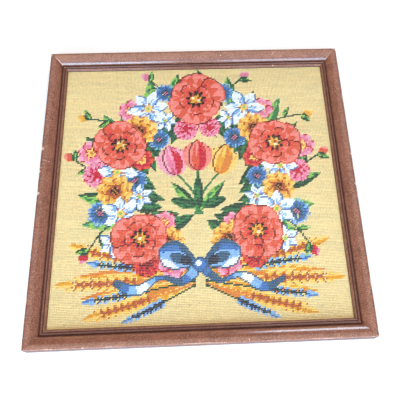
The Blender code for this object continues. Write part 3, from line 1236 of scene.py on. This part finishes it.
def mark_rings(name, rings, reach, out, height):
    """Dents the rings at a rail's knocks, and gives each point's wear from knocks and scratches."""
    wear = np.zeros(rings.shape[:2])
    for along, knock_out, radius, depth in marks_on(name, KNOCKS):
        gap = np.hypot(rings[..., 0] - along * MM, (out - knock_out * MM)[None] * 0.9)
        hit = np.clip(1 - gap / (radius * MM), 0, 1) * on_top(out, height)
        wear = np.maximum(wear, np.minimum(1.5 * hit, 1))
        dent = depth * MM * hit**0.7
        rings[..., 2] -= dent
        rings[..., 1] += dent * (out > MOULDING_WIDTH - 2 * ARRIS_RADIUS)
    for along, start, end, half_width in marks_on(name, SCRATCHES):
        gap = abs(rings[..., 0] * (reach + BAND_CREST) / (reach + out) - along * MM)
        near = np.clip(2 - 2 * gap / (half_width * MM), 0, 1)
        wear = np.maximum(wear, SCRATCH_WEAR * near * ((out > start * MM) & (out < end * MM)))
    return wear


def edge_wear_and_highlight(shape, out, height, wear_and_highlight, rng):
    """Each point's wear where hands have rubbed the outer edge, and at the mitres, with a steady painted
    highlight along the bottom rail's outer edge.
    """
    mitre_wear, painted_edge_highlight, rub_change = wear_and_highlight
    rub_and_highlight = painted_edge_highlight + rub_change * soft_noise(shape, (5, 6), rng)
    on_arris = np.exp(-(((out - RUB_AND_HIGHLIGHT_OUT) / RUB_AND_HIGHLIGHT_WIDTH) ** 2)) * (height > ARRIS_HEIGHT - ARRIS_RADIUS)
    wear = on_arris * np.clip(rub_and_highlight, 0, 1)
    at_mitre = mitre_wear * np.interp(out, (16 * MM, 21 * MM), (1, 0.6))
    at_mitre = at_mitre * on_top(out, height) * (height > BAND_FOOT + 2 * MM)
    for ends in (slice(0, len(CORNER_STEPS)), slice(-len(CORNER_STEPS), None)):
        wear[ends] = np.maximum(wear[ends], at_mitre)
    return wear


def map_grain(mesh, rings, out, height, quarter_turns):
    """Maps the wood's grain along the rail and round its section, each rail from a place of its own."""
    count, size = rings.shape[:2]
    run = np.concatenate([[0], np.cumsum(np.hypot(np.diff(out), np.diff(height)))])
    corners = stored(mesh.loops, "vertex_index", kind=int)
    places = np.stack([rings[..., 0].ravel() + quarter_turns, np.tile(run, count)], 1)[corners]
    # the face that closes the section ends on its first points, a full turn on
    closing = (corners % size == 0) & (np.arange(len(corners)) % 4 % 3 != 0)
    closing[4 * (count - 1) * size:] = False
    places[closing, 1] = run[-1] + REBATE_CEILING
    store_map(mesh, "grain", places)


def rail_mesh(name, sight_length, quarter_turns, sight_distance, materials):
    """A mitred length of moulding, swept along X under the picture and turned to its own side."""
    out, height, level, matt = moulding_profile().T
    top_level, top_matt, *wear_and_highlight = RAIL_PAINTED_LIGHT_AND_FINISH[name]
    matt = np.where(level == 0, np.maximum(matt, top_matt), matt)
    level = np.where(level == 0, top_level, level)
    rings, reach = moulding_rings(name, out, height, sight_length, sight_distance)
    count, size = rings.shape[:2]
    rng = np.random.default_rng(SEED + 10 + quarter_turns)
    wear = mark_rings(name, rings, reach, out, height)
    wear = np.maximum(wear, edge_wear_and_highlight((count, size), out, height, wear_and_highlight, rng))
    numbers = np.arange(count * size).reshape(count, size)
    faces = quads(np.concatenate([numbers, numbers[:, :1]], 1)).tolist()
    faces += [numbers[0].tolist(), numbers[-1, ::-1].tolist()]
    turn = quarter_turns * math.pi / 2
    x, y, z = rings.reshape(-1, 3).T
    x, y = x * math.cos(turn) - y * math.sin(turn), x * math.sin(turn) + y * math.cos(turn)
    mesh = bpy.data.meshes.new(name + "_moulding")
    mesh.from_pydata(np.stack([x, y, z], 1).tolist(), [], faces)
    for material in materials:
        mesh.materials.append(material)
    bare = (level >= 2) & (np.roll(level, -1) >= 2)
    slots = np.concatenate([np.tile(bare, count - 1), [True, True]]).astype(int)
    mesh.polygons.foreach_set("material_index", slots)
    # each point's level of painted shade, its wear with the bottom rail's painted edge highlight, and its
    # mattness
    painted_light_and_finish = np.stack([np.tile(level, count), wear.ravel(), np.tile(matt, count)], 1)
    store(mesh, "painted_light_and_finish", "FLOAT_VECTOR", "POINT", painted_light_and_finish)
    map_grain(mesh, rings, out, height, quarter_turns)
    mesh.shade_smooth()
    mesh.set_sharp_from_angle(angle=math.radians(38))
    return mesh


def add_rails(materials):
    """The four rails, anticlockwise from the bottom one."""
    across, down = SIGHT_RIGHT - SIGHT_LEFT, SIGHT_TOP - SIGHT_BOTTOM
    rails = (
        ("rail_bottom", across, down / 2),
        ("rail_right", down, across / 2),
        ("rail_top", across, down / 2),
        ("rail_left", down, across / 2),
    )
    for quarter_turns, (name, length, distance) in enumerate(rails):
        mesh = rail_mesh(name, length, quarter_turns, distance, materials)
        add_piece(name + "_moulding", mesh, [name])


# Floor, light and camera

def add_floor():
    mesh = bpy.data.meshes.new("floor")
    corners = [(x * FLOOR_REACH, y * FLOOR_REACH, 0) for x, y in ((-1, -1), (1, -1), (1, 1), (-1, 1))]
    mesh.from_pydata(corners, [], [(0, 1, 2, 3)])
    mesh.materials.append(floor_material())
    floor = placed("floor", mesh)


def add_light(name, place, target, size, power, colour):
    light = bpy.data.lights.new(name, "AREA")
    light.shape = "RECTANGLE"
    light.size, light.size_y = size
    light.energy = power
    light.color = colour
    lamp = placed(name, light)
    lamp.location = place
    lamp.rotation_euler = (Vector(target) - Vector(place)).to_track_quat("-Z", "Y").to_euler()


def add_lights():
    world = bpy.data.worlds.new("studio")
    world.use_nodes = True
    background = world.node_tree.nodes["Background"]
    background.inputs["Color"].default_value = ROOM_COLOUR
    background.inputs["Strength"].default_value = ROOM_LIGHT
    bpy.context.scene.world = world
    for light in LIGHTS:
        add_light(*light)
    bpy.context.scene.view_settings.view_transform = "Standard"


def add_camera():
    camera = bpy.data.cameras.new("camera")
    camera.sensor_width = 36
    camera.lens = camera.sensor_width * FOCAL_LENGTH_PIXELS / PICTURE_PIXELS
    camera.shift_x, camera.shift_y = CAMERA_SHIFT
    holder = placed("camera", camera)
    holder.location = CAMERA_PLACE
    holder.rotation_euler = [math.radians(turn) for turn in CAMERA_TURNS]
    bpy.context.scene.camera = holder


def main():
    add_camera()
    add_lights()
    add_floor()
    add_rails([lacquer_material(), bare_wood_material()])
    colours = dyed_colours(draw_picture())
    bands = add_stitches(colours, wool_material())
    add_canvas(colours, canvas_material())


main()
